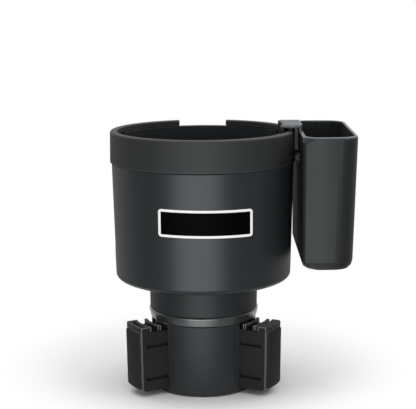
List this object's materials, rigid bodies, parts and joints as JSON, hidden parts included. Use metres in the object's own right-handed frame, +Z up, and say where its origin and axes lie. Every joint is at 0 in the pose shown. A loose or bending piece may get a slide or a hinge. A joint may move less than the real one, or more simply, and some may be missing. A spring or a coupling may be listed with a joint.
{
  "type": "cup holder expander",
  "caption": "Wide cup on a turning neck over a base with spreading jaws, with a locking collar at the rim and a flat side pocket hooked on it.",
  "frame": {"origin": "centre of the foot pad's underside, on the surface that the part stands on", "axes": "+Z up through the cup's axis; the side pocket is towards +X and the label towards -Y"},
  "size_m": [0.1541, 0.1172, 0.1715],
  "materials": {
    "body_plastic": "fine satin moulded charcoal",
    "collar_plastic": "fine satin moulded charcoal",
    "pocket_plastic": "fine satin moulded charcoal",
    "scroll_plastic": "smooth satin charcoal",
    "jaw_plastic": "fine satin moulded charcoal",
    "grip_rubber": "matte black",
    "foot_rubber": "matte black with ring tread",
    "mat_rubber": "matte black with ring grooves",
    "label_film": "blank black field with a pale raised border",
    "screw_steel": "zinc plated",
    "insert_brass": "machined"
  },
  "bodies": {
    "base": {"base_housing": "body_plastic", "foot_pad": "foot_rubber", "post_insert": "insert_brass", "centre_screw": "screw_steel", "centre_washer": "screw_steel"},
    "cup": {"scroll_plate": "scroll_plastic", "scroll_screw_1": "screw_steel", "scroll_screw_2": "screw_steel", "scroll_screw_3": "screw_steel", "neck_hub": "body_plastic", "hub_screw_1": "screw_steel", "hub_screw_2": "screw_steel", "hub_screw_3": "screw_steel", "hub_screw_4": "screw_steel", "cup_body": "body_plastic", "cup_mat": "mat_rubber", "label_plate": "label_film"},
    "collar": {"collar_ring": "collar_plastic", "side_pocket": "pocket_plastic"},
    "left_jaw": {"jaw_1": "jaw_plastic", "jaw_pad_1": "grip_rubber"},
    "right_jaw": {"jaw_2": "jaw_plastic", "jaw_pad_2": "grip_rubber"},
    "rear_jaw": {"jaw_3": "jaw_plastic", "jaw_pad_3": "grip_rubber"}
  },
  "joints": [
    {"name": "cup_turn", "type": "hinge", "parent": "base", "child": "cup", "pos_m": [0, 0, 0.048], "axis": [0, 0, 1], "range_deg": [-797.1, 0]},
    {"name": "left_jaw_slide", "type": "slide", "parent": "base", "child": "left_jaw", "axis": [-0.866, -0.5, 0], "range_m": [-0.0155, 0]},
    {"name": "right_jaw_slide", "type": "slide", "parent": "base", "child": "right_jaw", "axis": [0.866, -0.5, 0], "range_m": [-0.0155, 0]},
    {"name": "rear_jaw_slide", "type": "slide", "parent": "base", "child": "rear_jaw", "axis": [0, 1, 0], "range_m": [-0.0155, 0]},
    {"name": "collar_turn", "type": "hinge", "parent": "cup", "child": "collar", "pos_m": [0, 0, 0.157], "axis": [0, 0, 1], "range_deg": [0, 85]}
  ],
  "couplings": [
    {"joint": "left_jaw_slide", "follows": "cup_turn", "m_per_rad": 0.0011141},
    {"joint": "right_jaw_slide", "follows": "cup_turn", "m_per_rad": 0.0011141},
    {"joint": "rear_jaw_slide", "follows": "cup_turn", "m_per_rad": 0.0011141}
  ]
}
